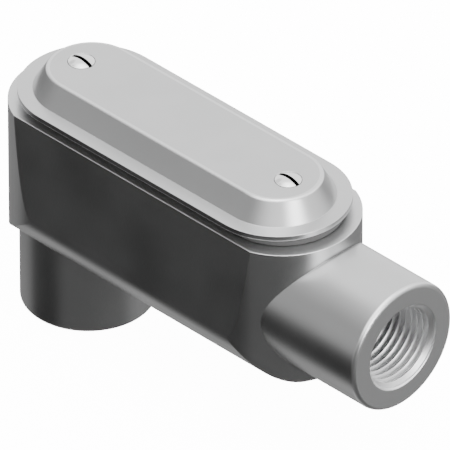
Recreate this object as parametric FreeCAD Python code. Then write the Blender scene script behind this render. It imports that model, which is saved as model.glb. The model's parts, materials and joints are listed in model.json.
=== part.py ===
"""Back-outlet (LB) conduit body for trade size 1/2 conduit, with a screwed-on cover.

Frame, in millimetres: the origin is the centre of the back hub's mouth. +Z runs up
through the back hub towards the cover, and +X runs towards the end hub's mouth.
The casting is symmetric about the XZ plane.
"""
import FreeCAD
import Part
import math
import os

from FreeCAD import Vector

# Casting: outside form
RIM_Z = 55.0                 # machined rim that carries the gasket
FLOOR_Z = 19.5               # outside of the casting's floor
END_CENTRE_X = 62.8          # end arcs are centred on x = 0 and on this x
END_RADIUS = 18.25           # vertical walls of both ends
RIM_HALF_WIDTH = 17.0        # the long sides lean outwards from here, going down
FLOOR_CORNER_RADIUS = 9.4    # rounding along the bottom of the long sides
WALL = 2.8

# Casting: hubs, tapped 1/2-14 taper pipe thread; the bores are at the thread's root
HUB_RADIUS = 15.875
HUB_EDGE_RADIUS = 1.05
HUB_FACE_X = 101.2
HUB_AXIS_Z = 36.0
BORE_RADIUS = 10.65
BORE_DEPTH = 16.0
THROAT_RADIUS = 7.9          # smooth bushing that stops the conduit
BACK_THROAT_LEAD = 2.4       # chamfer that eases the conductors into the hollow
END_THROAT_LEAD = 3.0
END_THROAT_LENGTH = 4.2      # smooth part, before the chamfer
BORE_RUN_OUT = 8.0           # how far each bore's cut runs on inside the hollow

# Casting: cover opening, with a lip that the clamp nuts pull against
LIP_THICKNESS = 3.0
OPENING_RADIUS = 11.5

# Gasket
GASKET_THICKNESS = 2.43
GASKET_OUTER_RADIUS = 14.35
GASKET_INNER_RADIUS = 11.6

# Cover: flange, sloping band and raised plateau, all obrounds on the same centres
COVER_INSET_X = 1.53         # end centres lie this far inside those of the casting
FLANGE_RADIUS = 17.07
FLANGE_THICKNESS = 1.24
BAND_FOOT_RADIUS = 13.55
BAND_TOP_RADIUS = 10.35
PLATEAU_RISE = 5.43          # from the flange's top
PLATEAU_EDGE_RADIUS = 0.96
COVER_WALL = 1.6
BOSS_RADIUS = 4.2
BOSS_DEPTH = 2.0

# Cover screws, number 6-32 slotted oval heads
SCREW_OFFSET_X = 1.85        # outside the casting's end centres
SCREW_RADIUS = 1.75
SCREW_LENGTH = 19.05         # below the plateau
SCREW_POINT = 0.4
HEAD_RADIUS = 3.2
HEAD_DOME = 0.85
HEAD_CONE_HALF_ANGLE = 41.0
SLOT_WIDTH = 0.75
SLOT_DEPTH = 0.65
RUNNING_CLEARANCE = 0.05

# Clamp nuts
NUT_HALF_LENGTH = 13.4
NUT_HALF_WIDTH = 3.5
NUT_ARM_THICKNESS = 2.4
NUT_WEDGE_RISE = 1.6         # tapered middle that centres itself between the lips
NUT_WEDGE_FOOT = 9.9
NUT_WEDGE_TOP = 9.1

# Derived levels
LIP_UNDERSIDE_Z = RIM_Z - LIP_THICKNESS
FLANGE_BOTTOM_Z = RIM_Z + GASKET_THICKNESS
FLANGE_TOP_Z = FLANGE_BOTTOM_Z + FLANGE_THICKNESS
PLATEAU_Z = FLANGE_TOP_Z + PLATEAU_RISE
CONE_DEPTH = (HEAD_RADIUS - SCREW_RADIUS) / math.tan(math.radians(HEAD_CONE_HALF_ANGLE))
COVER_CENTRES = (COVER_INSET_X, END_CENTRE_X - COVER_INSET_X)
CASTING_CENTRES = (0.0, END_CENTRE_X)
SCREW_X = {"left": -SCREW_OFFSET_X, "right": END_CENTRE_X + SCREW_OFFSET_X}

UP = Vector(0, 0, 1)
ALONG = Vector(1, 0, 0)


def closed_face(edges):
    """Plane face bounded by edges given in order."""
    return Part.Face(Part.Wire(edges))


def polygon_face(points):
    """Plane face of a polygon given by its corners."""
    return Part.Face(Part.makePolygon(points + [points[0]]))


def obround_prism(centres, radius, z_low, z_high):
    """Upright prism with straight sides and a half-round end about each centre."""
    left, right = centres
    start = Vector(left, -radius, z_low)
    side_end = Vector(right, -radius, z_low)
    back_start = Vector(right, radius, z_low)
    back_end = Vector(left, radius, z_low)
    outline = closed_face([
        Part.LineSegment(start, side_end).toShape(),
        Part.Arc(side_end, Vector(right + radius, 0, z_low), back_start).toShape(),
        Part.LineSegment(back_start, back_end).toShape(),
        Part.Arc(back_end, Vector(left - radius, 0, z_low), start).toShape(),
    ])
    return outline.extrude(UP * (z_high - z_low))


def obround_band(profile, centres):
    """Closed band: a profile in the plane x = 0, at y > 0, carried round both centres."""
    left, right = centres
    far_side = profile.translated(ALONG * left)
    near_side = far_side.mirror(Vector(0, 0, 0), Vector(0, 1, 0))
    straight = ALONG * (right - left)
    left_end = far_side.revolve(Vector(left, 0, 0), UP, 180)
    right_end = profile.translated(ALONG * right).revolve(Vector(right, 0, 0), UP, -180)
    band = far_side.extrude(straight).multiFuse([near_side.extrude(straight), left_end, right_end])
    return band.removeSplitter()


def turned(profile_points, axis_point, axis):
    """Solid turned about an axis from a closed half profile."""
    return polygon_face(profile_points).revolve(axis_point, axis, 360)


def housing_form(inset, z_top):
    """Casting's outside form, or its hollow when inset by the wall, up to z_top.

    The lengthwise section has leaning sides that run tangent into rounded floor
    corners. The section is carried along X and trimmed by upright ends.
    """
    corner = Vector(0, END_RADIUS - FLOOR_CORNER_RADIUS, FLOOR_Z + FLOOR_CORNER_RADIUS)
    to_rim = Vector(0, RIM_HALF_WIDTH, RIM_Z) - corner
    lean = math.atan2(to_rim.z, to_rim.y) - math.acos(FLOOR_CORNER_RADIUS / to_rim.Length)
    round_radius = FLOOR_CORNER_RADIUS - inset

    def on_corner(angle):
        return corner + Vector(0, math.cos(angle), math.sin(angle)) * round_radius

    def mirrored(point):
        return Vector(point.x, -point.y, point.z)

    side_foot = on_corner(lean)
    floor_end = on_corner(-math.pi / 2)
    middle = on_corner((lean - math.pi / 2) / 2)
    climb = z_top - side_foot.z
    side_top = side_foot + Vector(0, -climb * math.tan(lean), climb)
    section = closed_face([
        Part.LineSegment(side_top, side_foot).toShape(),
        Part.Arc(side_foot, middle, floor_end).toShape(),
        Part.LineSegment(floor_end, mirrored(floor_end)).toShape(),
        Part.Arc(mirrored(floor_end), mirrored(middle), mirrored(side_foot)).toShape(),
        Part.LineSegment(mirrored(side_foot), mirrored(side_top)).toShape(),
        Part.LineSegment(mirrored(side_top), side_top).toShape(),
    ])
    reach = END_RADIUS + 5.0
    run = section.translated(ALONG * -reach).extrude(ALONG * (END_CENTRE_X + 2 * reach))
    ends = obround_prism(CASTING_CENTRES, END_RADIUS - inset, FLOOR_Z - 5.0, z_top + 5.0)
    return run.common(ends)


def hub(mouth, inward, length):
    """Round hub with a rounded edge at its mouth."""
    blank = Part.makeCylinder(HUB_RADIUS, length, mouth, inward)
    mouth_edges = []
    for edge in blank.Edges:
        is_circle = isinstance(edge.Curve, Part.Circle)
        if is_circle and (edge.Curve.Center - mouth).Length < 0.01:
            mouth_edges.append(edge)
    return blank.makeFillet(HUB_EDGE_RADIUS, mouth_edges)


def hub_bore(mouth, inward, throat_end, lead, run_out):
    """Bore, smooth throat and its chamfered inner mouth, as the solid to cut away.

    throat_end is the depth at which the chamfer is complete, lead is its width, and
    run_out is the depth at which the cut ends inside the hollow.
    """
    side = UP if abs(inward.z) < 0.5 else ALONG

    def at(depth, radius):
        return mouth + inward * depth + side * radius

    return turned([
        at(0, 0),
        at(0, BORE_RADIUS),
        at(BORE_DEPTH, BORE_RADIUS),
        at(BORE_DEPTH, THROAT_RADIUS),
        at(throat_end - lead, THROAT_RADIUS),
        at(throat_end, THROAT_RADIUS + lead),
        at(run_out, THROAT_RADIUS + lead),
        at(run_out, 0),
    ], mouth, inward)


def body_casting():
    """One-piece casting: hollow housing, lipped cover opening and two hubs."""
    back_mouth = Vector(0, 0, 0)
    end_mouth = Vector(HUB_FACE_X, 0, HUB_AXIS_Z)
    outside = housing_form(0.0, RIM_Z).multiFuse([
        hub(back_mouth, UP, FLOOR_Z + FLOOR_CORNER_RADIUS),
        hub(end_mouth, ALONG * -1, HUB_FACE_X - END_CENTRE_X),
    ])
    floor_inside = FLOOR_Z + WALL
    end_throat = BORE_DEPTH + END_THROAT_LENGTH + END_THROAT_LEAD
    hollow = housing_form(WALL, LIP_UNDERSIDE_Z).multiFuse([
        obround_prism(CASTING_CENTRES, OPENING_RADIUS, LIP_UNDERSIDE_Z - 1.0, RIM_Z + 1.0),
        hub_bore(back_mouth, UP, floor_inside, BACK_THROAT_LEAD, floor_inside + BORE_RUN_OUT),
        hub_bore(end_mouth, ALONG * -1, end_throat, END_THROAT_LEAD, end_throat + BORE_RUN_OUT),
    ])
    return outside.cut(hollow).removeSplitter()


def cover_gasket():
    """Flat ring between the casting's rim and the cover's flange."""
    ring = obround_prism(CASTING_CENTRES, GASKET_OUTER_RADIUS, RIM_Z, FLANGE_BOTTOM_Z)
    return ring.cut(obround_prism(CASTING_CENTRES, GASKET_INNER_RADIUS, RIM_Z, FLANGE_BOTTOM_Z))


def cover_profile():
    """Half section of the cover from its centre line out to the flange's edge."""
    run = BAND_FOOT_RADIUS - BAND_TOP_RADIUS
    slope = math.atan2(PLATEAU_RISE, run)
    tangent = PLATEAU_EDGE_RADIUS * math.tan(slope / 2)
    centre_y = BAND_TOP_RADIUS - tangent
    centre_z = PLATEAU_Z - PLATEAU_EDGE_RADIUS

    def at(y, z):
        return Vector(0, y, z)

    def on_edge_round(angle):
        return at(centre_y + PLATEAU_EDGE_RADIUS * math.cos(angle),
                  centre_z + PLATEAU_EDGE_RADIUS * math.sin(angle))

    band_end_angle = math.pi / 2 - slope
    band_end = on_edge_round(band_end_angle)
    round_middle = on_edge_round((math.pi / 2 + band_end_angle) / 2)
    plateau_end = on_edge_round(math.pi / 2)
    inner_foot = BAND_FOOT_RADIUS - COVER_WALL / math.sin(slope) + FLANGE_THICKNESS / math.tan(slope)
    inner_top = inner_foot - (PLATEAU_Z - COVER_WALL - FLANGE_BOTTOM_Z) / math.tan(slope)
    corners = [
        at(0, PLATEAU_Z),
        at(0, PLATEAU_Z - COVER_WALL),
        at(inner_top, PLATEAU_Z - COVER_WALL),
        at(inner_foot, FLANGE_BOTTOM_Z),
        at(FLANGE_RADIUS, FLANGE_BOTTOM_Z),
        at(FLANGE_RADIUS, FLANGE_TOP_Z),
        at(BAND_FOOT_RADIUS, FLANGE_TOP_Z),
        band_end,
    ]
    edges = [Part.LineSegment(plateau_end, corners[0]).toShape()]
    for start, end in zip(corners, corners[1:]):
        edges.append(Part.LineSegment(start, end).toShape())
    edges.append(Part.Arc(band_end, round_middle, plateau_end).toShape())
    return closed_face(edges)


def screw_hole(x):
    """Countersunk through hole for a cover screw, as the solid to cut away."""
    wide = HEAD_RADIUS + RUNNING_CLEARANCE
    narrow = SCREW_RADIUS + RUNNING_CLEARANCE
    countersink = Part.makeCone(narrow, wide, CONE_DEPTH, Vector(x, 0, PLATEAU_Z - CONE_DEPTH))
    shank_depth = COVER_WALL + BOSS_DEPTH + 1.0
    shank_way = Part.makeCylinder(narrow, shank_depth, Vector(x, 0, PLATEAU_Z - shank_depth))
    return countersink.fuse(shank_way)


def cover():
    """Hollow cover with a flat flange, a sloping band and a boss round each screw."""
    blank = obround_band(cover_profile(), COVER_CENTRES)
    boss_height = COVER_WALL / 2 + BOSS_DEPTH
    boss_base = PLATEAU_Z - COVER_WALL - BOSS_DEPTH
    bosses = []
    for x in SCREW_X.values():
        bosses.append(Part.makeCylinder(BOSS_RADIUS, boss_height, Vector(x, 0, boss_base)))
    body = blank.multiFuse(bosses)
    for x in SCREW_X.values():
        body = body.cut(screw_hole(x))
    return body.removeSplitter()


def cover_screw(x):
    """Slotted oval-head machine screw standing in its countersink."""
    dome_radius = (HEAD_RADIUS ** 2 + HEAD_DOME ** 2) / (2 * HEAD_DOME)
    ball = Part.makeSphere(dome_radius, Vector(x, 0, PLATEAU_Z + HEAD_DOME - dome_radius))
    dome = ball.common(Part.makeCylinder(HEAD_RADIUS, HEAD_DOME, Vector(x, 0, PLATEAU_Z)))
    tip_z = PLATEAU_Z - SCREW_LENGTH
    axis_point = Vector(x, 0, 0)
    shank = turned([
        Vector(x, 0, tip_z),
        Vector(x + SCREW_RADIUS - SCREW_POINT, 0, tip_z),
        Vector(x + SCREW_RADIUS, 0, tip_z + SCREW_POINT),
        Vector(x + SCREW_RADIUS, 0, PLATEAU_Z - CONE_DEPTH),
        Vector(x + HEAD_RADIUS, 0, PLATEAU_Z),
        Vector(x, 0, PLATEAU_Z),
    ], axis_point, UP)
    slot_length = 2 * HEAD_RADIUS + 1.0
    slot = Part.makeBox(slot_length, SLOT_WIDTH, SLOT_DEPTH + 1.0,
                        Vector(x - slot_length / 2, -SLOT_WIDTH / 2, PLATEAU_Z + HEAD_DOME - SLOT_DEPTH))
    return shank.fuse(dome).cut(slot).removeSplitter()


def clamp_nut(x):
    """Tapped bar under the lips, with a tapered middle that rises between them."""
    arm_bottom = LIP_UNDERSIDE_Z - NUT_ARM_THICKNESS
    wedge_top = LIP_UNDERSIDE_Z + NUT_WEDGE_RISE
    profile = polygon_face([
        Vector(x - NUT_HALF_WIDTH, -NUT_HALF_LENGTH, arm_bottom),
        Vector(x - NUT_HALF_WIDTH, NUT_HALF_LENGTH, arm_bottom),
        Vector(x - NUT_HALF_WIDTH, NUT_HALF_LENGTH, LIP_UNDERSIDE_Z),
        Vector(x - NUT_HALF_WIDTH, NUT_WEDGE_FOOT, LIP_UNDERSIDE_Z),
        Vector(x - NUT_HALF_WIDTH, NUT_WEDGE_TOP, wedge_top),
        Vector(x - NUT_HALF_WIDTH, -NUT_WEDGE_TOP, wedge_top),
        Vector(x - NUT_HALF_WIDTH, -NUT_WEDGE_FOOT, LIP_UNDERSIDE_Z),
        Vector(x - NUT_HALF_WIDTH, -NUT_HALF_LENGTH, LIP_UNDERSIDE_Z),
    ])
    bar = profile.extrude(ALONG * (2 * NUT_HALF_WIDTH))
    height = wedge_top - arm_bottom
    round_ends = Part.makeCylinder(NUT_HALF_LENGTH, height, Vector(x, 0, arm_bottom))
    tapped_hole = Part.makeCylinder(SCREW_RADIUS + RUNNING_CLEARANCE, height, Vector(x, 0, arm_bottom))
    return bar.common(round_ends).cut(tapped_hole)


def main():
    """Build every node and write one STEP file for each."""
    os.makedirs("parts", exist_ok=True)
    nodes = {
        "body_casting": body_casting(),
        "cover_gasket": cover_gasket(),
        "cover": cover(),
    }
    for side, x in SCREW_X.items():
        nodes["cover_screw_" + side] = cover_screw(x)
        nodes["clamp_nut_" + side] = clamp_nut(x)
    for name, shape in nodes.items():
        shape.exportStep("parts/" + name + ".step")
        box = shape.BoundBox
        print(name, shape.isValid(), len(shape.Solids), round(shape.Volume, 1),
              [round(v, 2) for v in (box.XMin, box.YMin, box.ZMin, box.XMax, box.YMax, box.ZMax)])


main()
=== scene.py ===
"""Dressed scene of a back-outlet conduit body with a gasketed, screwed-on cover.

Everything is in metres, in the frame of the construction model: the origin is the
centre of the back hub's mouth, +Z runs up to the cover and +X out of the end hub.
"""
from __future__ import annotations

import json
import logging
import math
from collections.abc import Callable
from dataclasses import dataclass
from enum import Enum

import bpy
from mathutils import Matrix, Vector


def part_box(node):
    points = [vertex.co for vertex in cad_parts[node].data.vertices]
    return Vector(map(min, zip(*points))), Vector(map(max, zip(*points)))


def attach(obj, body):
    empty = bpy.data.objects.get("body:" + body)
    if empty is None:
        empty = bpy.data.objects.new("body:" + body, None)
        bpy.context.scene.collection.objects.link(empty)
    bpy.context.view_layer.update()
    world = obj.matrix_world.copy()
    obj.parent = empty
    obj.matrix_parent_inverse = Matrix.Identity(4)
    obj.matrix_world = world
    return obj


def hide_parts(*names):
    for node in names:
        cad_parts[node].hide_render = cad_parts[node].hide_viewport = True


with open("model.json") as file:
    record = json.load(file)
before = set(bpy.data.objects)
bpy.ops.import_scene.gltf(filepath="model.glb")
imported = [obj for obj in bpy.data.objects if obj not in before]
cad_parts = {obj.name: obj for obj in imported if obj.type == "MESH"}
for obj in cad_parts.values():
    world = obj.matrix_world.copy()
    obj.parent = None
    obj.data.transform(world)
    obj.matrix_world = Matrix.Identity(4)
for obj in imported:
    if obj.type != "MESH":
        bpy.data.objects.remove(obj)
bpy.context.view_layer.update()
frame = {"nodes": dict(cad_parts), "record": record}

LOG = logging.getLogger("conduit_body")
MM = 0.001
INCH = 25.4 * MM
WELD = 0.002 * MM  # points closer than this are one point
PIPE_THREADS_PER_INCH = 14.0
SCREW_THREADS_PER_INCH = 32.0
THREAD_HALF_ANGLE = math.radians(30.0)
EDGE_TURN = (0.004, 0.09)  # how much a rounded normal turns, from a flat face to an edge
SHELTERED = (0.12, 0.62)  # how much of the sky is hidden, from no painted shade to full painted shade

Tone = tuple[float, float, float]
Place = tuple[float, float, float]


# --------------------------------------------------------------------------- shader nodes


class Wire:
    """A node's output. Arithmetic on it adds Math nodes to its tree."""

    def __init__(self, tree: NodeTree, socket: bpy.types.NodeSocket) -> None:
        """Wraps one output socket of a node tree."""
        self.tree = tree
        self.socket = socket

    def math(self, operation: str, *operands: Wire | float) -> Wire:
        """Adds one Math node.

        Args:
            operation: the Math node's operation.
            operands: its inputs in order, wires or numbers.

        Returns:
            The node's result.
        """
        sockets = dict(enumerate(operands))
        return self.tree.add("ShaderNodeMath", {"operation": operation}, sockets)["Value"]

    def __add__(self, other: Wire | float) -> Wire:
        """Sum."""
        return self.math("ADD", self, other)

    def __radd__(self, other: float) -> Wire:
        """Sum with a number on the left."""
        return self.math("ADD", other, self)

    def __sub__(self, other: Wire | float) -> Wire:
        """Difference."""
        return self.math("SUBTRACT", self, other)

    def __rsub__(self, other: float) -> Wire:
        """Difference with a number on the left."""
        return self.math("SUBTRACT", other, self)

    def __mul__(self, other: Wire | float) -> Wire:
        """Product."""
        return self.math("MULTIPLY", self, other)

    def __rmul__(self, other: float) -> Wire:
        """Product with a number on the left."""
        return self.math("MULTIPLY", other, self)

    def __pow__(self, other: Wire | float) -> Wire:
        """Power."""
        return self.math("POWER", self, other)

    def __rpow__(self, other: float) -> Wire:
        """Power of a number on the left."""
        return self.math("POWER", other, self)

    def at_least(self, floor: float) -> Wire:
        """The value, or the floor where it is lower."""
        return self.math("MAXIMUM", self, floor)

    def between(self, low: float, high: float) -> Wire:
        """Smooth mask as the value climbs from low to high.

        Args:
            low: value where the mask starts to rise.
            high: value where the mask is full.

        Returns:
            The mask, 0 to 1.
        """
        settings = {"interpolation_type": "SMOOTHSTEP"}
        sockets = {"Value": self, "From Min": low, "From Max": high}
        return self.tree.add("ShaderNodeMapRange", settings, sockets)["Result"]


class NodeTree:
    """A shader node tree that is being wired up."""

    def __init__(self, tree: bpy.types.NodeTree) -> None:
        """Starts from an empty tree."""
        self.tree = tree
        self.tree.nodes.clear()

    def add(
        self,
        kind: str,
        settings: dict[str, object] | None = None,
        sockets: dict[str | int, object] | None = None,
    ) -> dict[str, Wire]:
        """Adds any node.

        Args:
            kind: the node's type name.
            settings: its settings, which are set first.
            sockets: values or wires for its inputs, by name, or by place where names repeat.

        Returns:
            The outputs in use, by name.
        """
        node = self.tree.nodes.new(kind)
        for name, value in (settings or {}).items():
            setattr(node, name, value)
        for key, value in (sockets or {}).items():
            if isinstance(key, int):
                socket = node.inputs[key]
            else:
                socket = next(each for each in node.inputs if each.enabled and each.name == key)
            if isinstance(value, Wire):
                self.tree.links.new(value.socket, socket)
            else:
                socket.default_value = (*value, 1.0) if socket.type == "RGBA" else value
        return {each.name: Wire(self, each) for each in node.outputs if each.enabled}


class Surface(NodeTree):
    """A material under construction, patterned on Object coordinates."""

    def __init__(self, name: str) -> None:
        """Starts an empty material.

        Args:
            name: the material's name.
        """
        self.material = bpy.data.materials.new(name)
        self.material.use_nodes = True
        super().__init__(self.material.node_tree)
        self.place = self.add("ShaderNodeTexCoord")["Object"]

    def noise(self, scale: float, detail: float = 2.0, stretch: Place = (1.0, 1.0, 1.0)) -> Wire:
        """Fractal noise over the piece.

        Args:
            scale: features per metre.
            detail: octaves of finer noise.
            stretch: how much denser the pattern is along each axis.

        Returns:
            The noise, about 0 to 1.
        """
        at = self.add("ShaderNodeMapping", None, {"Vector": self.place, "Scale": stretch})["Vector"]
        sockets = {"Vector": at, "Scale": scale, "Detail": detail}
        return self.add("ShaderNodeTexNoise", None, sockets)["Fac"]

    def turning_marks(self, radius: Wire, marks_per_m: float) -> Wire:
        """Fine rings, as a lathe leaves on a face.

        Args:
            radius: distance from the lathe's axis, in metres.
            marks_per_m: rings per metre of radius.

        Returns:
            The rings' height, about 0 to 1.
        """
        at = self.add("ShaderNodeCombineXYZ", None, {"X": radius})["Vector"]
        sockets = {"Vector": at, "Scale": marks_per_m, "Detail": 1.0}
        return self.add("ShaderNodeTexNoise", None, sockets)["Fac"]

    def blend(self, first: Wire | Tone, second: Wire | Tone, mask: Wire) -> Wire:
        """Blends two colours.

        Args:
            first: colour where the mask is 0.
            second: colour where the mask is 1.
            mask: the blend, 0 to 1.

        Returns:
            The mixed colour.
        """
        sockets = {"Factor": mask, "A": first, "B": second}
        return self.add("ShaderNodeMix", {"data_type": "RGBA"}, sockets)["Result"]

    def offset(self, centre: Place) -> tuple[Wire, Wire, Wire]:
        """Distance along each axis from a point.

        Args:
            centre: the point, in metres.

        Returns:
            The x, y and z distances in metres.
        """
        sockets = {"Vector": self.place, "Location": tuple(-part for part in centre)}
        shifted = self.add("ShaderNodeMapping", None, sockets)["Vector"]
        parts = self.add("ShaderNodeSeparateXYZ", None, {"Vector": shifted})
        return parts["X"], parts["Y"], parts["Z"]

    def broken_edge(self, radius: float) -> tuple[Wire, Wire]:
        """Slightly rounded sharp edges.

        Args:
            radius: radius of the rounding, in metres.

        Returns:
            The rounded normal, and a mask that is 1 along the edges.
        """
        rounded = self.add("ShaderNodeBevel", {"samples": 6}, {"Radius": radius})["Normal"]
        true = self.add("ShaderNodeNewGeometry")["Normal"]
        sockets = {0: rounded, 1: true}
        alike = self.add("ShaderNodeVectorMath", {"operation": "DOT_PRODUCT"}, sockets)["Value"]
        return rounded, (1.0 - alike).between(*EDGE_TURN)

    def shelter(self, reach: float) -> Wire:
        """Mask of the corners and grooves where shade is painted into the colour.

        Args:
            reach: how far from a corner it still shows, in metres.

        Returns:
            0 on open faces, rising to 1 deep in a corner.
        """
        openness = self.add("ShaderNodeAmbientOcclusion", {"samples": 8}, {"Distance": reach})["AO"]
        return (1.0 - openness).between(*SHELTERED)

    def relief(self, height: Wire, distance: float, normal: Wire | None = None) -> Wire:
        """Bumps the surface.

        Args:
            height: the relief, 0 to 1.
            distance: its depth in metres.
            normal: the surface's normal before the relief, if it is not the true one.

        Returns:
            The bumped normal.
        """
        sockets: dict[str | int, object] = {"Height": height, "Distance": distance}
        if normal is not None:
            sockets["Normal"] = normal
        return self.add("ShaderNodeBump", None, sockets)["Normal"]

    def shade(self, sockets: dict[str | int, object]) -> Wire:
        """Adds the Principled shader.

        Args:
            sockets: values or wires for its sockets.

        Returns:
            The shader.
        """
        return self.add("ShaderNodeBsdfPrincipled", None, sockets)["BSDF"]

    def hide_back(self, shader: Wire) -> Wire:
        """Makes the faces clear when seen from behind.

        Args:
            shader: how their front looks.

        Returns:
            The shader for both sides.
        """
        behind = self.add("ShaderNodeNewGeometry")["Backfacing"]
        clear = self.add("ShaderNodeBsdfTransparent")["BSDF"]
        return self.add("ShaderNodeMixShader", None, {0: behind, 1: shader, 2: clear})["Shader"]

    def done(self, shader: Wire) -> bpy.types.Material:
        """Puts the shader on the material's output and returns the material."""
        self.add("ShaderNodeOutputMaterial", None, {"Surface": shader})
        return self.material


# --------------------------------------------------------------------------- finishes


def grey(value: float) -> Tone:
    """A neutral tone."""
    return (value, value, value)


def cool(value: float) -> Tone:
    """A grey with the faint blue of aluminium."""
    return (value, value + 0.003, value + 0.005)


@dataclass(frozen=True, kw_only=True)
class MetalFinish:
    """A metal surface with a fine grain, edges toned lighter as rubbed wear and painted highlight,
    and painted shade in its corners.

    Attributes:
        name: the material's name.
        dark: tone of the duller patches.
        light: tone of the brighter patches.
        smoothest: roughness of the brighter patches.
        roughest: roughness of the duller patches.
        patches_per_m: patches per metre.
        patch_band: noise values between which one patch passes into the next.
        grains_per_m: grains per metre.
        grain_depth: relief of the grain, in metres.
        edge_radius: rounding of its sharp edges, in metres.
        wear_and_highlight: tone of its edges, which are lighter as rubbed wear and as painted
            highlight.
        wear_and_highlight_share: how far the edges reach that tone.
        painted_shade: tone of the shade painted into its corners.
        painted_shade_share: how much of it lies deep in a corner.
        painted_shade_reach: how far the painted shade spreads from a corner, in metres.
    """

    name: str
    dark: Tone
    light: Tone
    smoothest: float
    roughest: float
    patches_per_m: float = 55.0
    patch_band: tuple[float, float] = (0.31, 0.69)
    grains_per_m: float
    grain_depth: float
    edge_radius: float
    # Edges toned lighter: partly rubbed wear, partly painted highlight.
    wear_and_highlight: Tone = cool(0.86)
    wear_and_highlight_share: float = 0.7
    # Painted shade: corners and grooves are darkened towards this tone.
    painted_shade: Tone = grey(0.045)
    painted_shade_share: float = 1.0
    painted_shade_reach: float

    def build(self) -> bpy.types.Material:
        """Wires up the material.

        Returns:
            The finished material.
        """
        surface = Surface(self.name)
        patches = surface.noise(self.patches_per_m, 3.0).between(*self.patch_band)
        grain = surface.noise(self.grains_per_m, 4.0)
        rounded, edge = surface.broken_edge(self.edge_radius)
        tone = surface.blend(self.dark, self.light, patches * 0.6 + grain * 0.4)
        rough = self.roughest - (self.roughest - self.smoothest) * (patches * 0.7 + grain * 0.3)
        # Edges toned lighter: partly rubbed wear, partly painted highlight.
        tone = surface.blend(tone, self.wear_and_highlight, self.wear_and_highlight_mask(surface, edge) * self.wear_and_highlight_share)
        # Painted shade: corners and grooves that hide much of the sky are darkened.
        tone = surface.blend(tone, self.painted_shade, surface.shelter(self.painted_shade_reach) * self.painted_shade_share)
        normal = surface.relief(grain, self.grain_depth, rounded)
        sockets = {"Base Color": tone, "Roughness": rough, "Metallic": 1.0, "Normal": normal}
        return surface.done(surface.shade(sockets))

    def wear_and_highlight_mask(self, surface: Surface, edge: Wire) -> Wire:
        """Where the edges are toned lighter, as rubbed wear and as painted highlight.

        Args:
            surface: the material under construction.
            edge: mask of the sharp edges.

        Returns:
            The mask, 0 to 1.
        """
        return edge


@dataclass(frozen=True, kw_only=True)
class CoverFinish(MetalFinish):
    """The cover's aluminium, toned lighter along the rounded edge of its plateau, as rubbed wear
    and as painted highlight.

    Attributes:
        middle: middle of the cover.
        half_span: half the distance between the centres of its rounded ends.
        band: inner and outer radius of the plateau's rounded edge.
        band_share: how bright that edge is beside a sharp one.
    """

    middle: Place
    half_span: float
    band: tuple[float, float]
    band_share: float = 0.8

    def wear_and_highlight_mask(self, surface: Surface, edge: Wire) -> Wire:
        """Where the edges are toned lighter, as rubbed wear and painted highlight: the sharp edges
        and the plateau's rounded edge.

        Args:
            surface: the material under construction.
            edge: mask of the sharp edges.

        Returns:
            The mask, 0 to 1 and a little over where both meet.
        """
        along, across, _ = surface.offset(self.middle)
        past_centre = ((along * along) ** 0.5 - self.half_span).at_least(0.0)
        radius = (past_centre * past_centre + across * across) ** 0.5
        inner, outer = self.band
        soft = 0.12 * MM
        past_band = radius.between(outer, outer + soft)
        plateau_edge = radius.between(inner - soft, inner) * (1.0 - past_band)
        # Painted highlight along the plateau's rounded edge, on top of the lighter sharp edges.
        return edge + plateau_edge * self.band_share


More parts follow.
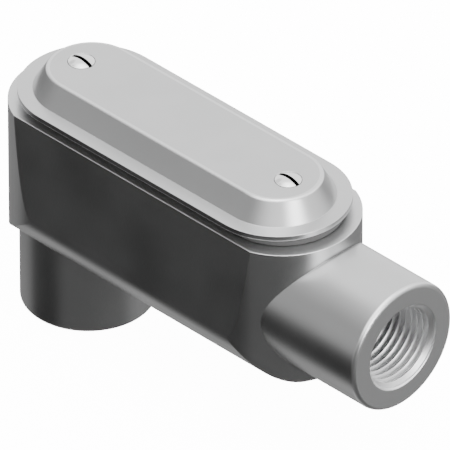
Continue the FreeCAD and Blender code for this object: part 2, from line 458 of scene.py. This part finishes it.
@dataclass(frozen=True, kw_only=True)
class CastingFinish(MetalFinish):
    """Satin cast aluminium whose rim and hub mouths are machined.

    Attributes:
        machined: tone of the machined faces.
        machined_roughness: their roughness.
        turned_rings_per_m: rings per metre of radius on the hub's face.
        milled_marks_per_m: milling marks per metre on the other machined faces.
        rim_height: height of the machined rim.
        end_mouth: centre of the end hub's mouth.
        mouth_edge: inner and outer radius of the rounded edge of the end hub's mouth, which gets a
            painted highlight.
    """

    machined: Tone
    machined_roughness: float
    turned_rings_per_m: float = 9000.0
    milled_marks_per_m: float = 420.0
    rim_height: float
    end_mouth: Place
    mouth_edge: tuple[float, float]

    def build(self) -> bpy.types.Material:
        """Wires up the material.

        Returns:
            The finished material.
        """
        surface = Surface(self.name)
        patches = surface.noise(self.patches_per_m, 3.0).between(*self.patch_band)
        sand = surface.noise(self.grains_per_m, 3.0)
        cast = surface.blend(self.dark, self.light, patches * 0.65 + sand * 0.35)
        rough = self.roughest - (self.roughest - self.smoothest) * (patches * 0.7 + sand * 0.3)

        along, across, above = surface.offset(self.end_mouth)
        height = surface.offset((0.0, 0.0, 0.0))[2]
        skin = 0.02 * MM
        end_face = along.between(-skin, 0.0)
        back_face = 1.0 - height.between(0.0, skin)
        rim_face = height.between(self.rim_height - skin, self.rim_height)
        machined = end_face + back_face + rim_face
        radius = (across * across + above * above) ** 0.5
        turned = surface.turning_marks(radius, self.turned_rings_per_m)
        milled = surface.noise(self.milled_marks_per_m, 2.0, (0.35, 8.0, 1.0))
        marks = turned * end_face + milled * (1.0 - end_face)

        rounded, edge = surface.broken_edge(self.edge_radius)
        # Painted highlight: a ring on the rounded edge of the end hub's mouth is toned lighter all
        # round.
        inner, outer = self.mouth_edge
        mouth_edge = along.between(-1.0 * MM, -0.8 * MM) * radius.between(inner, outer)
        bare = surface.blend(self.dark, self.machined, marks * 0.5 + 0.5)
        tone = surface.blend(cast, bare, machined)
        # Sharp edges and the hub mouth's ring toned lighter: rubbed wear and painted highlight.
        tone = surface.blend(tone, self.wear_and_highlight, (edge + mouth_edge * 0.7) * self.wear_and_highlight_share)
        # Painted shade: corners and grooves that hide much of the sky are darkened.
        tone = surface.blend(tone, self.painted_shade, surface.shelter(self.painted_shade_reach) * self.painted_shade_share)
        relief = sand * (1.0 - machined) + marks * machined * 0.35
        sockets = {
            "Base Color": tone,
            "Roughness": rough + (self.machined_roughness - rough) * machined,
            "Metallic": 1.0,
            "Normal": surface.relief(relief, self.grain_depth, rounded),
        }
        return surface.done(surface.shade(sockets))


@dataclass(frozen=True, kw_only=True)
class RubberFinish:
    """Matt moulded rubber.

    Attributes:
        name: the material's name.
        shade: its grey.
        grains_per_m: grains per metre.
        grain_depth: relief of the grain, in metres.
    """

    name: str
    shade: float
    grains_per_m: float
    grain_depth: float

    def build(self) -> bpy.types.Material:
        """Wires up the material.

        Returns:
            The finished material.
        """
        surface = Surface(self.name)
        grain = surface.noise(self.grains_per_m, 3.0)
        sockets = {
            "Base Color": surface.blend(grey(self.shade * 0.86), grey(self.shade * 1.08), grain),
            "Roughness": 0.55 + 0.2 * grain,
            "Metallic": 0.0,
            "Normal": surface.relief(grain, self.grain_depth),
        }
        return surface.done(surface.shade(sockets))


@dataclass(frozen=True, kw_only=True)
class TableFinish:
    """A pale table top that glows evenly and is clear from below.

    Attributes:
        name: the material's name.
        dark: its darker patches.
        light: its lighter patches.
        glow: its radiance.
    """

    name: str
    dark: Tone
    light: Tone
    glow: float

    def build(self) -> bpy.types.Material:
        """Wires up the material.

        Returns:
            The finished material.
        """
        surface = Surface(self.name)
        sockets = {
            "Base Color": surface.blend(self.dark, self.light, surface.noise(3.0, 2.0)),
            "Roughness": 0.9,
            "Emission Color": grey(1.0),
            "Emission Strength": self.glow,
        }
        return surface.done(surface.hide_back(surface.shade(sockets)))


# The tapped metal is toned far lighter than the machined faces, as painted light that offsets the
# shade deep in the bores.
TAPPED = MetalFinish(
    name="tapped_aluminium",
    dark=cool(0.90),
    light=cool(0.955),
    smoothest=0.32,
    roughest=0.42,
    grains_per_m=5200.0,
    grain_depth=0.003 * MM,
    edge_radius=0.05 * MM,
    wear_and_highlight=cool(0.955),
    painted_shade_share=0.5,
    painted_shade_reach=0.3 * MM,
)
PLATED = MetalFinish(
    name="plated_steel",
    dark=grey(0.88),
    light=grey(0.95),
    smoothest=0.10,
    roughest=0.16,
    grains_per_m=5200.0,
    grain_depth=0.0015 * MM,
    edge_radius=0.05 * MM,
    # Painted shade reaches far from a corner here, so that it darkens the driver slot.
    painted_shade_reach=1.6 * MM,
)
ZINC = MetalFinish(
    name="zinc_steel",
    dark=(0.56, 0.57, 0.58),
    light=(0.70, 0.71, 0.72),
    smoothest=0.34,
    roughest=0.48,
    grains_per_m=2400.0,
    grain_depth=0.008 * MM,
    edge_radius=0.15 * MM,
    painted_shade_reach=0.8 * MM,
)
GASKET_RUBBER = RubberFinish(
    name="gasket_rubber",
    shade=0.12,
    grains_per_m=2600.0,
    grain_depth=0.02 * MM,
)


# --------------------------------------------------------------------------- modelling


def deselect_all() -> None:
    """Leaves nothing selected."""
    if bpy.context.object and bpy.context.object.mode != "OBJECT":
        bpy.ops.object.mode_set(mode="OBJECT")
    bpy.ops.object.select_all(action="DESELECT")


def take(piece: bpy.types.Object) -> None:
    """Makes one piece the only selected and the active one.

    Args:
        piece: the piece.
    """
    deselect_all()
    piece.select_set(True)
    bpy.context.view_layer.objects.active = piece


def start(add: Callable[..., set[str]], name: str, **sizes: object) -> bpy.types.Object:
    """Adds a primitive with its place in its mesh.

    Args:
        add: the operator that adds it.
        name: the new piece's name.
        sizes: the operator's settings.

    Returns:
        The primitive.
    """
    deselect_all()
    add(**sizes)
    piece = bpy.context.object
    piece.name = name
    take(piece)
    bpy.ops.object.transform_apply(location=True, rotation=True, scale=True)
    return piece


def apply_modifier(piece: bpy.types.Object, kind: str, **settings: object) -> None:
    """Adds one modifier to a piece and applies it.

    Args:
        piece: the piece.
        kind: the modifier's type.
        settings: the modifier's settings.
    """
    take(piece)
    modifier = piece.modifiers.new(kind.lower(), kind)
    for name, value in settings.items():
        setattr(modifier, name, value)
    bpy.ops.object.modifier_apply(modifier=modifier.name)


def combine(piece: bpy.types.Object, other: bpy.types.Object, operation: str) -> None:
    """Cuts one piece out of another, or joins them, and throws the other away.

    The result is closed only if both pieces are.

    Args:
        piece: the piece that stays.
        other: the cutter, or the piece that joins it.
        operation: DIFFERENCE or UNION.
    """
    apply_modifier(piece, "BOOLEAN", operation=operation, object=other, solver="EXACT")
    bpy.data.objects.remove(other)


def profile_line(name: str, points: list[tuple[float, float]]) -> bpy.types.Object:
    """A line through points given as radius and height, ready to be turned about Z.

    Args:
        name: the new piece's name.
        points: radius and height of each point, in order.

    Returns:
        The line as a piece of edges.
    """
    line = start(bpy.ops.mesh.primitive_plane_add, name, size=MM)
    bpy.ops.object.mode_set(mode="EDIT")
    bpy.ops.mesh.select_all(action="SELECT")
    bpy.ops.mesh.merge(type="CENTER")
    bpy.ops.transform.translate(value=(points[0][0], 0.0, points[0][1]))
    for (r0, z0), (r1, z1) in zip(points, points[1:]):
        bpy.ops.mesh.extrude_region_move(TRANSFORM_OT_translate={"value": (r1 - r0, 0.0, z1 - z0)})
    bpy.ops.object.mode_set(mode="OBJECT")
    return line


def turn(line: bpy.types.Object, steps: int, rise: float = 0.0, turns: int = 1) -> None:
    """Turns a line about Z into a surface.

    Args:
        line: the line.
        steps: straight stretches in one turn.
        rise: climb of one turn, in metres.
        turns: number of turns.
    """
    apply_modifier(
        line,
        "SCREW",
        axis="Z",
        screw_offset=rise,
        iterations=turns,
        steps=steps,
        render_steps=steps,
        use_merge_vertices=True,
        merge_threshold=WELD,
    )


def trim(piece: bpy.types.Object, height: float, keep_below: bool) -> None:
    """Cuts a piece at a height, drops one side and asks for the cut to be filled.

    Corners within 0.1 mm of the cut count as lying on it, so an end comes out uneven by that
    much. The pipe thread's tap is closed all the same. The cover screw's thread stays open.

    Args:
        piece: the piece, built about Z.
        height: height of the cut.
        keep_below: True to keep what is below.
    """
    take(piece)
    bpy.ops.object.mode_set(mode="EDIT")
    bpy.ops.mesh.select_all(action="SELECT")
    bpy.ops.mesh.bisect(
        plane_co=(0.0, 0.0, height),
        plane_no=(0.0, 0.0, 1.0),
        use_fill=True,
        clear_outer=keep_below,
        clear_inner=not keep_below,
    )
    bpy.ops.object.mode_set(mode="OBJECT")


def weld(piece: bpy.types.Object) -> None:
    """Merges a piece's doubled points and turns its faces outwards.

    Args:
        piece: the piece.
    """
    take(piece)
    bpy.ops.object.mode_set(mode="EDIT")
    bpy.ops.mesh.select_all(action="SELECT")
    bpy.ops.mesh.remove_doubles(threshold=WELD)
    bpy.ops.mesh.normals_make_consistent(inside=False)
    bpy.ops.object.mode_set(mode="OBJECT")


def complete(piece: bpy.types.Object, place: Matrix, crease: float) -> None:
    """Shades a piece and puts its place into its mesh.

    Args:
        piece: the piece, built about its own axes.
        place: where it belongs.
        crease: faces that meet at more than this many degrees keep a sharp edge.
    """
    take(piece)
    bpy.ops.object.shade_smooth_by_angle(angle=math.radians(crease))
    piece.matrix_world = place
    bpy.ops.object.transform_apply(location=True, rotation=True, scale=True)


def dress(piece: bpy.types.Object, finish: bpy.types.Material) -> bpy.types.Object:
    """Gives a piece its finish.

    Args:
        piece: the piece.
        finish: the material that covers it.

    Returns:
        The piece.
    """
    piece.data.materials.clear()
    piece.data.materials.append(finish)
    return piece


@dataclass
class ThreadForm:
    """A 60 degree screw thread, built as a threaded rod about Z.

    Attributes:
        name: the rod's name.
        major: radius over the ridges.
        minor: radius at the foot of the grooves.
        pitch: rise of one turn.
        top: height of the rod's upper end.
        bottom: height of its lower end.
        steps: straight stretches in one turn.
        taper: share of the radius lost over the rod's length.
    """

    name: str
    major: float
    minor: float
    pitch: float
    top: float
    bottom: float
    steps: int
    taper: float = 0.0

    def ridge(self) -> list[tuple[float, float]]:
        """The thread's outline over one pitch, from one groove to the next.

        Returns:
            Radius and height of each corner.
        """
        flank = (self.major - self.minor) * math.tan(THREAD_HALF_ANGLE)
        flat = (self.pitch - 2.0 * flank) / 2.0
        first = self.bottom - 2.0 * self.pitch
        heights = (0.0, flat, flat + flank, flat + flank + flat, self.pitch)
        radii = (self.minor, self.minor, self.major, self.major, self.minor)
        return [(radius, first + height) for radius, height in zip(radii, heights)]

    def build(self) -> bpy.types.Object:
        """Models the rod.

        Returns:
            The threaded rod, with its ends as trim leaves them.
        """
        rod = profile_line(self.name, self.ridge())
        spare_turns = 4
        turns = math.ceil((self.top - self.bottom) / self.pitch) + spare_turns
        turn(rod, self.steps, self.pitch, turns)
        trim(rod, self.top, keep_below=True)
        trim(rod, self.bottom, keep_below=False)
        weld(rod)
        if self.taper:
            settings = {"deform_method": "TAPER", "deform_axis": "Z", "factor": self.taper}
            apply_modifier(rod, "SIMPLE_DEFORM", **settings)
        return rod


# --------------------------------------------------------------------------- the object


class SubAssembly:
    """Pieces of the object that are built and dressed together."""

    def build(self) -> list[bpy.types.Object]:
        """Builds and dresses the pieces, and returns them."""
        raise NotImplementedError


class Hub(Enum):
    """A hub, by the name that its mount has in the record."""

    END = "end_hub"
    BACK = "back_hub"

    def mount(self) -> dict[str, object]:
        """The hub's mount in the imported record."""
        return next(mount for mount in frame["record"]["mounts"] if mount["name"] == self.value)

    def placement(self) -> Matrix:
        """Where the hub's mouth is.

        Returns:
            The place, with the local +Z pointing out of the hub.
        """
        mount = self.mount()
        turned = Vector((0.0, 0.0, 1.0)).rotation_difference(Vector(mount["axis"]))
        return Matrix.Translation(Vector(mount["pos_m"])) @ turned.to_matrix().to_4x4()


@dataclass
class Housing(SubAssembly):
    """The casting, with the tapered pipe thread of each hub as a lining of its bore.

    Attributes:
        bore: radius of a lining, just inside the casting's plain bore.
        thread_length: length of a lining.
        root: radius at the thread's root at the mouth.
        crest: radius at the thread's crest at the mouth.
        pitch: rise of one turn of the pipe thread.
        taper: share of the radius that the thread loses over the tap's length.
        facets: flats round a lining.
        hub_radius: outside radius of a hub.
        hub_edge: rounding of the hub's edge at its mouth.
    """

    bore: float = 10.645 * MM
    thread_length: float = 15.95 * MM
    root: float = 10.58 * MM
    crest: float = 9.45 * MM
    pitch: float = INCH / PIPE_THREADS_PER_INCH
    taper: float = 0.06
    facets: int = 128
    hub_radius: float = 15.9 * MM
    hub_edge: float = 1.0 * MM

    def build(self) -> list[bpy.types.Object]:
        """Builds and dresses the casting and its threads.

        Returns:
            The casting and the two linings.
        """
        casting = dress(frame["nodes"]["body_casting"], self.casting_finish().build())
        tapped = TAPPED.build()
        return [casting, *(self.thread(hub, tapped) for hub in Hub)]

    def casting_finish(self) -> CastingFinish:
        """Works out where this casting has its machined faces.

        Returns:
            The casting's finish.
        """
        edge_start = self.hub_radius - self.hub_edge
        return CastingFinish(
            name="cast_aluminium_satin",
            dark=cool(0.575),
            light=cool(0.625),
            smoothest=0.29,
            roughest=0.36,
            patches_per_m=48.0,
            patch_band=(0.3, 0.7),
            grains_per_m=2300.0,
            grain_depth=0.008 * MM,
            edge_radius=0.32 * MM,
            wear_and_highlight_share=0.75,
            painted_shade_reach=1.5 * MM,
            machined=cool(0.66),
            machined_roughness=0.38,
            rim_height=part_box("body_casting")[1].z,
            end_mouth=tuple(Hub.END.mount()["pos_m"]),
            mouth_edge=(edge_start - 0.2 * MM, edge_start),
        )

    def thread(self, hub: Hub, finish: bpy.types.Material) -> bpy.types.Object:
        """Models the thread of one hub.

        Args:
            hub: the hub.
            finish: the tapped metal.

        Returns:
            The lining, in place and riding on the housing.
        """
        lining = start(
            bpy.ops.mesh.primitive_cylinder_add,
            f"pipe_thread_{hub.name.lower()}",
            vertices=self.facets,
            radius=self.bore,
            depth=self.thread_length,
            location=(0.0, 0.0, -self.thread_length / 2.0),
        )
        over_run = 2.0 * MM
        tap = ThreadForm(
            name="tap",
            major=self.root,
            minor=self.crest,
            pitch=self.pitch,
            top=over_run,
            bottom=-self.thread_length - over_run,
            steps=self.facets,
            taper=self.taper,
        )
        combine(lining, tap.build(), "DIFFERENCE")
        combine(lining, self.countersink(), "DIFFERENCE")
        complete(lining, hub.placement(), crease=12.0)
        dress(lining, finish)
        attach(lining, "housing")
        return lining

    def countersink(self) -> bpy.types.Object:
        """Models the cutter for the 45 degree countersink at the mouth.

        Returns:
            The cone, about Z, from the bore's edge to the thread's crest and a little beyond.
        """
        clear_of_edge = 0.015 * MM
        beyond = 1.0 * MM
        wide = self.bore + clear_of_edge
        depth = wide - self.crest
        return start(
            bpy.ops.mesh.primitive_cone_add,
            "countersink",
            vertices=self.facets,
            radius1=self.crest - beyond,
            radius2=wide + beyond,
            depth=depth + 2.0 * beyond,
            location=(0.0, 0.0, -depth / 2.0),
        )


@dataclass
class CoverAssembly(SubAssembly):
    """The cover and the gasket under it.

    Attributes:
        plateau_edge: inner and outer radius of the rounded edge of the cover's plateau.
    """

    plateau_edge: tuple[float, float] = (9.62 * MM, 10.45 * MM)

    def build(self) -> list[bpy.types.Object]:
        """Dresses the cover and the gasket.

        Returns:
            The cover and the gasket.
        """
        cover = dress(frame["nodes"]["cover"], self.cover_finish().build())
        gasket = dress(frame["nodes"]["cover_gasket"], GASKET_RUBBER.build())
        return [cover, gasket]

    def cover_finish(self) -> CoverFinish:
        """Works out where this cover's plateau ends.

        Returns:
            The cover's finish.
        """
        low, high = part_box("cover")
        return CoverFinish(
            name="cover_aluminium_satin",
            dark=cool(0.565),
            light=cool(0.625),
            smoothest=0.27,
            roughest=0.34,
            grains_per_m=3200.0,
            grain_depth=0.005 * MM,
            edge_radius=0.22 * MM,
            painted_shade_reach=0.8 * MM,
            middle=((low.x + high.x) / 2.0, (low.y + high.y) / 2.0, 0.0),
            half_span=((high.x - low.x) - (high.y - low.y)) / 2.0,
            band=self.plateau_edge,
        )


class End(Enum):
    """An end of the cover."""

    LEFT = "left"
    RIGHT = "right"


@dataclass
class CoverFixing(SubAssembly):
    """One slotted oval-head screw with the clamp nut that it draws up.

    The screw's mesh has known faults. Its threaded length is a tube that is open at the tip,
    the neck has gaps in its wall and a wall across it inside, and the rounding of the head's
    edges comes out with no width.

    Attributes:
        end: the end of the cover that it holds.
        head_radius: just inside the countersink, so that a fine gap shows round it.
        dome: rise of the head above the cover.
        cone_angle: half angle of the head's cone, in degrees.
        thread_major: radius over the threads.
        thread_minor: radius at the foot of the threads.
        pitch: rise of one turn of the screw's thread.
        neck: plain length under the head's cone.
        slot_width: width of the driver slot.
        slot_depth: its depth from the top of the dome.
        edge: rounding asked for at the head's edges, which stay sharp.
        head_facets: flats round the head.
        thread_facets: flats round the thread.
        crown_chords: chords from the dome's rim to its middle.
    """

    end: End
    head_radius: float = 3.08 * MM
    dome: float = 0.85 * MM
    cone_angle: float = 41.0
    thread_major: float = 1.74 * MM
    thread_minor: float = 1.32 * MM
    pitch: float = INCH / SCREW_THREADS_PER_INCH
    neck: float = 0.9 * MM
    slot_width: float = 1.0 * MM
    slot_depth: float = 1.4 * MM
    edge: float = 0.06 * MM
    head_facets: int = 64
    thread_facets: int = 48
    crown_chords: int = 12

    def build(self) -> list[bpy.types.Object]:
        """Models the screw, and dresses it and the clamp nut.

        Returns:
            The screw and the clamp nut.
        """
        side = self.end.value
        nut = dress(frame["nodes"][f"clamp_nut_{side}"], ZINC.build())
        screw = dress(self.screw(), PLATED.build())
        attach(screw, f"screw_{side}")
        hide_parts(f"cover_screw_{side}")
        return [screw, nut]

    def crown(self) -> list[tuple[float, float]]:
        """The outline of the domed top.

        Returns:
            Radius and height of each point, from the rim to the middle.
        """
        ball = (self.head_radius**2 + self.dome**2) / (2.0 * self.dome)
        rim_angle = math.asin(self.head_radius / ball)
        points = []
        for step in range(self.crown_chords + 1):
            angle = rim_angle * (1.0 - step / self.crown_chords)
            points.append((ball * math.sin(angle), self.dome - ball + ball * math.cos(angle)))
        return points

    def head(self, neck_end: float) -> bpy.types.Object:
        """Models the slotted head with its cone and neck.

        Args:
            neck_end: height at which the plain neck ends, from the cover's top.

        Returns:
            The head, about Z.
        """
        cone_end = neck_end + self.neck
        neck = [(0.0, neck_end), (self.thread_minor, neck_end), (self.thread_minor, cone_end)]
        head = profile_line(f"oval_head_screw_{self.end.value}", neck + self.crown())
        turn(head, self.head_facets)
        weld(head)
        cutter_height = 2.0 * MM
        driver_slot = start(
            bpy.ops.mesh.primitive_cube_add,
            "driver_slot",
            size=1.0,
            scale=(3.0 * self.head_radius, self.slot_width, cutter_height),
            location=(0.0, 0.0, self.dome - self.slot_depth + cutter_height / 2.0),
        )
        combine(head, driver_slot, "DIFFERENCE")
        return head

    def screw(self) -> bpy.types.Object:
        """Models the whole screw.

        Returns:
            The screw, in its construction node's place.
        """
        low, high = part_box(f"cover_screw_{self.end.value}")
        cover_top = high.z - self.dome
        cone_width = self.head_radius - self.thread_minor
        neck_end = -cone_width / math.tan(math.radians(self.cone_angle)) - self.neck
        screw = self.head(neck_end)
        overlap = 0.3 * MM
        thread = ThreadForm(
            name="thread",
            major=self.thread_major,
            minor=self.thread_minor,
            pitch=self.pitch,
            top=neck_end + overlap,
            bottom=low.z - cover_top,
            steps=self.thread_facets,
        )
        combine(screw, thread.build(), "UNION")
        apply_modifier(
            screw,
            "BEVEL",
            width=self.edge,
            segments=2,
            limit_method="ANGLE",
            angle_limit=math.radians(40.0),
        )
        axis = Vector(((low.x + high.x) / 2.0, (low.y + high.y) / 2.0, cover_top))
        complete(screw, Matrix.Translation(axis), crease=32.0)
        return screw


# --------------------------------------------------------------------------- studio


class Role(Enum):
    """What a round card in the studio does."""

    GLOW = "glow"
    FLAG = "flag"


@dataclass(frozen=True)
class Card:
    """A large round card far off, with a soft edge, that lights or darkens one side.

    Attributes:
        name: what it is called.
        role: whether it glows or holds light back.
        bearing: degrees round from +X towards +Y.
        height: degrees above the horizon.
        full: degrees from its middle to where it starts to fade.
        fade: degrees over which it fades out.
        strength: radiance that a glow adds, or the share of light that a flag takes.
    """

    name: str
    role: Role
    bearing: float
    height: float
    full: float
    fade: float
    strength: float

    def facing(self) -> Place:
        """The direction of the card's middle.

        Returns:
            The unit vector from the object.
        """
        turned, lifted = math.radians(self.bearing), math.radians(self.height)
        level = math.cos(lifted)
        return (math.cos(turned) * level, math.sin(turned) * level, math.sin(lifted))

    def mask(self, world: NodeTree, direction: Wire) -> Wire:
        """Share of the card seen in a direction.

        Args:
            world: the world's nodes.
            direction: the direction looked in.

        Returns:
            1 on the card, 0 off it.
        """
        sockets = {0: direction, 1: self.facing()}
        nearness = world.add("ShaderNodeVectorMath", {"operation": "DOT_PRODUCT"}, sockets)["Value"]
        outer = math.cos(math.radians(self.full + self.fade))
        inner = math.cos(math.radians(self.full))
        return nearness.between(outer, inner)


@dataclass
class Studio:
    """A glowing pale table, soft light from all round and a long-lens camera.

    Attributes:
        view_width: width of the view at the object.
        lens: focal length in millimetres, long so that parallel edges stay parallel.
        film: width of the film in millimetres.
        aim_right: how far right of the rim's middle the camera looks.
        aim_up: how far above it.
        table_size: width of the table.
        table_gap: how far the table lies under the object.
        ambient: radiance from all round.
        table_glow: radiance of the table.
        cards: the glowing cards and flags.
    """

    view_width: float = 102.27 * MM
    lens: float = 1200.0
    film: float = 36.0
    aim_right: float = 9.26 * MM
    aim_up: float = -16.40 * MM
    table_size: float = 6.0
    table_gap: float = 0.2 * MM
    ambient: float = 0.4
    table_glow: float = 13.0
    cards: tuple[Card, ...] = (
        Card("overhead", Role.GLOW, -48.0, 66.0, 18.0, 34.0, 3.2),
        Card("behind", Role.GLOW, 126.0, 33.0, 43.0, 17.0, 1.4),
        Card("end_lamp", Role.GLOW, 350.0, 12.0, 6.0, 16.0, 8.9),
        Card("end_wash", Role.GLOW, 29.0, 24.0, 26.0, 29.0, 0.92),
        Card("mouth_gleam", Role.GLOW, 45.0, 35.0, 8.0, 10.0, 1.6),
        Card("top_spot", Role.GLOW, -45.0, 79.0, 9.0, 5.0, 3.0),
        Card("low_side", Role.GLOW, 236.0, 8.0, 6.0, 14.0, 0.16),
        Card("under_bounce", Role.GLOW, 243.0, -70.0, 16.0, 18.0, 0.47),
        Card("side_flag", Role.FLAG, 235.0, -33.0, 15.0, 17.0, 0.96),
        Card("corner_flag", Role.FLAG, 317.0, -39.0, 43.0, 24.0, 0.75),
        Card("end_flag", Role.FLAG, 66.0, -35.0, 30.0, 20.0, 0.3),
        Card("left_flag", Role.FLAG, 185.0, -28.0, 19.0, 18.0, 0.25),
        Card("dome_flag", Role.FLAG, 173.0, 37.0, 7.0, 8.0, 0.35),
    )

    def build(self) -> None:
        """Makes the table, the surrounding light and the camera."""
        self.table()
        self.surroundings()
        self.camera()

    def table(self) -> None:
        """A wide plane under the object that lights only the camera's view."""
        table = start(
            bpy.ops.mesh.primitive_plane_add,
            "table",
            size=self.table_size,
            location=(0.0, 0.0, -self.table_gap),
        )
        finish = TableFinish(
            name="glowing_table",
            dark=grey(0.86),
            light=grey(0.92),
            glow=self.table_glow,
        )
        dress(table, finish.build())
        table.visible_diffuse = False
        table.visible_glossy = False
        table.visible_shadow = False

    def surroundings(self) -> None:
        """Even light from all round, with glowing cards and flags in it."""
        world = bpy.data.worlds.new("studio")
        world.use_nodes = True
        nodes = NodeTree(world.node_tree)
        direction = nodes.add("ShaderNodeTexCoord")["Generated"]
        light: Wire | float = self.ambient
        for card in self.cards:
            if card.role is Role.GLOW:
                light = card.mask(nodes, direction) * card.strength + light
        for card in self.cards:
            if card.role is Role.FLAG:
                light = light * (1.0 - card.mask(nodes, direction) * card.strength)
        seen = nodes.add("ShaderNodeLightPath")["Is Camera Ray"]
        shown = light * (1.0 - seen) + seen * self.table_glow
        background = nodes.add("ShaderNodeBackground", None, {"Color": shown})["Background"]
        nodes.add("ShaderNodeOutputWorld", None, {"Surface": background})
        bpy.context.scene.world = world

    def camera(self) -> None:
        """Looks down one diagonal of a cube, so that the three axes are foreshortened alike."""
        rim_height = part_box("body_casting")[1].z
        low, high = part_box("cover")
        rim_centre = Vector(((low.x + high.x) / 2.0, 0.0, rim_height))
        back = Vector((1.0, -1.0, 1.0)).normalized()
        right = Vector((1.0, 1.0, 0.0)).normalized()
        aim = rim_centre + right * self.aim_right + back.cross(right) * self.aim_up
        data = bpy.data.cameras.new("camera")
        data.sensor_width = self.film
        data.lens = self.lens
        data.clip_start = 0.1
        data.clip_end = 20.0
        eye = bpy.data.objects.new("camera", data)
        bpy.context.scene.collection.objects.link(eye)
        eye.location = aim + back * (self.view_width * self.lens / self.film)
        eye.rotation_mode = "QUATERNION"
        eye.rotation_quaternion = (-back).to_track_quat("-Z", "Y")
        bpy.context.scene.camera = eye


def main() -> None:
    """Builds the object's sub-assemblies and its studio, and reports each piece."""
    logging.basicConfig(level=logging.INFO, format="%(name)s: %(message)s")
    for assembly in (Housing(), CoverAssembly(), CoverFixing(End.LEFT), CoverFixing(End.RIGHT)):
        for piece in assembly.build():
            faces = len(piece.data.polygons)
            LOG.info("%s: %s has %d faces", type(assembly).__name__, piece.name, faces)
    Studio().build()


if __name__ == "__main__":
    main()
